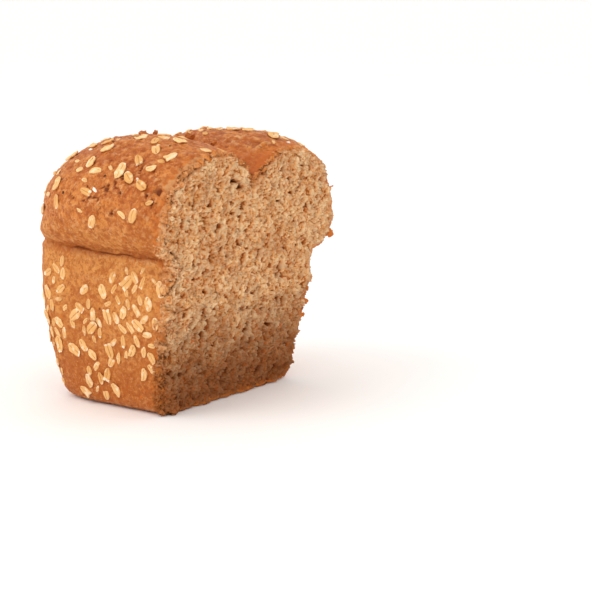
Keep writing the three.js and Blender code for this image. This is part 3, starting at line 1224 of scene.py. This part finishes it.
def crumbFinish():
    p = Paints("wholemealCrumb")
    t = crumbTint
    here = p.places()
    height = p.along(here, 2)
    relief = p.attribute("relief")
    soft = p.lumps(here, 7 * mm, 3, 0.6)
    fine = p.lumps(p.places((1, 1, 0.6)), 1.1 * mm, 4, 0.7)
    grain = p.lumps(p.places(turn=(0.3, 0.2, 0.7)), 2.3 * mm, 3, 0.7)
    # by relief, pores and hollows get painted shade and raised lumps a painted highlight, mixed with random
    # grain
    shape = relief + (fine - 0.5) * 1.9 + (grain - 0.5) * 1.3
    base = p.mix(p.window(shape, -0.75, 0.0), t["deep"], t["middle"])
    base = p.mix(p.window(shape, 0.0, 0.8) * 0.85, base, t["light"])
    base = p.mix(p.window(shape, -0.8, -1.6), base, t["dark"])
    drift = p.lumps(here, 17 * mm, 2, 0.5)
    base = p.mix(p.window(soft, 0.58, 0.38) * 0.3, base, t["deep"])
    base = p.mix(p.window(drift, 0.5, 0.68) * 0.35, base, t["light"])
    base = p.mix(p.window(drift, 0.5, 0.34) * 0.25, base, t["deep"])
    # darker towards the bottom: painted shadow, and the crumb a little denser by the base crust
    low = p.window(height + (soft - 0.5) * (26 * mm), 64 * mm, 6 * mm)
    base = p.mix(low * 0.9, base, t["lowShadeBrown"])
    # the larger holes are painted dark: painted shade inside them
    hollow = p.attribute("hollow")
    base = p.mix(p.window(hollow + (fine - 0.5) * 0.4, 0.45, 0.9) * 0.95, base, t["dark"])
    flecks = p.lumps(here, 2.1 * mm, 2, 0.6, 1.2)
    base = p.mix(p.window(flecks, 0.59, 0.65) * 0.75, base, t["bran"])
    base = p.mix(p.window(flecks, 0.36, 0.30) * 0.6, base, t["deep"])
    depth = p.attribute("skinDepth")
    across = p.along(here, 1)
    edge = p.window(depth + (soft - 0.5) * 6 + (fine - 0.5) * 4, 2.6, -0.4)
    farSide = p.window(across, -50 * mm, -20 * mm)
    onCrown = p.window(height, 94 * mm, 106 * mm)
    base = p.mix(edge * (0.25 + 0.4 * farSide + 0.4 * onCrown * (1 - farSide)), base, t["orange"])
    behind = p.window(depth + (soft - 0.5) * 10 + (fine - 0.5) * 5, -2.5, -8.0)
    base = p.mix(behind * 0.88, base, t["skin"])
    bumps = fine + p.lumps(here, 0.55 * mm, 2, 0.6) * 0.5
    normal = p.bump(bumps, 0.8 * mm)
    return p.surface(**{"Base Color": base, "Roughness": 0.9, "Normal": normal,
                        "Specular IOR Level": 0.12})


flakeTint = {
    "cream": tint(248, 206, 144),
    "gold": tint(226, 166, 94),
    "pale": tint(252, 230, 196),
    "chip": tint(252, 243, 230),
    "toast": tint(204, 134, 64),
    "groove": tint(170, 98, 40),
}


def flakeFinish():
    p = Paints("rolledOat")
    t = flakeTint
    uv = p.node("UVMap", {"uv_map": "grain"})
    along = p.along(uv, 0)
    across = p.along(uv, 1)
    shade = p.attribute("shade")
    here = p.places()
    patch = p.lumps(here, 4 * mm, 2, 0.6)
    streakPlace = p.node("Mapping", {}, {"Vector": uv, "Scale": (2.0, 15.0, 1.0)})
    streaks = p.node("TexNoise", {}, {"Vector": streakPlace, "Scale": 1.0, "Detail": 3.0, "Roughness": 0.6})
    base = p.mix(shade, t["cream"], t["gold"])
    base = p.mix(p.window(streaks, 0.48, 0.70) * 0.5, base, t["toast"])
    base = p.mix(p.window(patch, 0.52, 0.68) * 0.6, base, t["pale"])
    middle = p.node("Math", {"operation": "ABSOLUTE"}, {0: across - 0.5})
    ends = p.node("Math", {"operation": "ABSOLUTE"}, {0: along - 0.5})
    groove = p.window(middle + (streaks - 0.5) * 0.08, 0.06, 0.01) * p.window(ends, 0.46, 0.3)
    base = p.mix(groove * p.window(patch, 0.66, 0.44) * 0.85, base, t["groove"])
    # broken ends show the white inside
    chip = p.window(along + (patch - 0.5) * 0.9, 0.12, 0.02) * p.window(shade, 0.35, 0.7)
    base = p.mix(chip * 0.9, base, t["pale"])
    base = p.mix(p.window(shade, 1.2, 1.6) * 0.9, base, t["chip"])
    bumps = streaks + p.lumps(here, 0.9 * mm, 2, 0.6) * 0.5
    normal = p.bump(bumps, 0.3 * mm, 0.8)
    return p.surface(**{"Base Color": base, "Roughness": 0.6, "Normal": normal,
                        "Specular IOR Level": 0.25})


def giveFinish(piece, material):
    piece.data.materials.clear()
    piece.data.materials.append(material)


crustPaint = crustFinish()
giveFinish(crust, crustPaint)
giveFinish(crustShreds, crustPaint)
crumbPaint = crumbFinish()
giveFinish(crumb, crumbPaint)
giveFinish(tornEdge, crumbPaint)
oatFinish = flakeFinish()
for piece in flakePieces:
    giveFinish(piece, oatFinish)

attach(crust, "root")
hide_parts("loaf")
for piece in (crumb, tornEdge, crustShreds):
    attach(piece, "root")
print("finishes: given")


# floor, light and camera

studio = {
    "floorSize": 80.0,
    "floorDrop": 0.3 * mm,
    "worldStrength": 1.08,
    "key": {"place": (-0.55, -1.1, 1.25), "size": 1.1, "power": 7.0},
    "fill": {"place": (1.2, -0.5, 0.9), "size": 1.2, "power": 1.0},
    "lampsAimAt": (0, 0, 0.06),
    "cameraPlace": (0.5640, -0.6843, 0.2134),
    "cameraRight": (0.8131, 0.5821, 0.0),
    "cameraUp": (-0.1061, 0.1482, 0.9833),
    "lens": 103.55,
    "sensor": 36,
}


def makeFloor():
    bpy.ops.mesh.primitive_plane_add(size=studio["floorSize"], location=(0, 0, -studio["floorDrop"]))
    floor = bpy.context.object
    floor.name = "floor"
    p = Paints("paleFloor")
    grain = p.lumps(p.places(), 0.4, 3)
    colour = p.mix(grain * 0.5, tint(252, 249, 246), tint(250, 246, 242))
    giveFinish(floor, p.surface(**{"Base Color": colour, "Roughness": 0.75}))


def makeLight():
    world = bpy.data.worlds.new("studio")
    bpy.context.scene.world = world
    world.use_nodes = True
    world.node_tree.nodes["Background"].inputs["Color"].default_value = (1, 1, 1, 1)
    world.node_tree.nodes["Background"].inputs["Strength"].default_value = studio["worldStrength"]
    for name in ("key", "fill"):
        data = bpy.data.lights.new(name, "AREA")
        data.shape = "DISK"
        data.size = studio[name]["size"]
        data.energy = studio[name]["power"]
        lamp = bpy.data.objects.new(name, data)
        bpy.context.scene.collection.objects.link(lamp)
        lamp.location = studio[name]["place"]
        aim = Vector(studio["lampsAimAt"]) - Vector(studio[name]["place"])
        lamp.rotation_euler = aim.to_track_quat("-Z", "Y").to_euler()


def makeCamera():
    camera = bpy.data.objects.new("camera", bpy.data.cameras.new("camera"))
    bpy.context.scene.collection.objects.link(camera)
    right = Vector(studio["cameraRight"])
    up = Vector(studio["cameraUp"])
    turn = Matrix((right, up, right.cross(up))).transposed()
    camera.matrix_world = Matrix.Translation(studio["cameraPlace"]) @ turn.to_4x4()
    camera.data.lens = studio["lens"]
    camera.data.sensor_width = studio["sensor"]
    camera.data.clip_start = 0.01
    camera.data.clip_end = 60
    bpy.context.scene.camera = camera
    bpy.context.scene.view_settings.view_transform = "Standard"


makeFloor()
makeLight()
makeCamera()
print("studio: set")
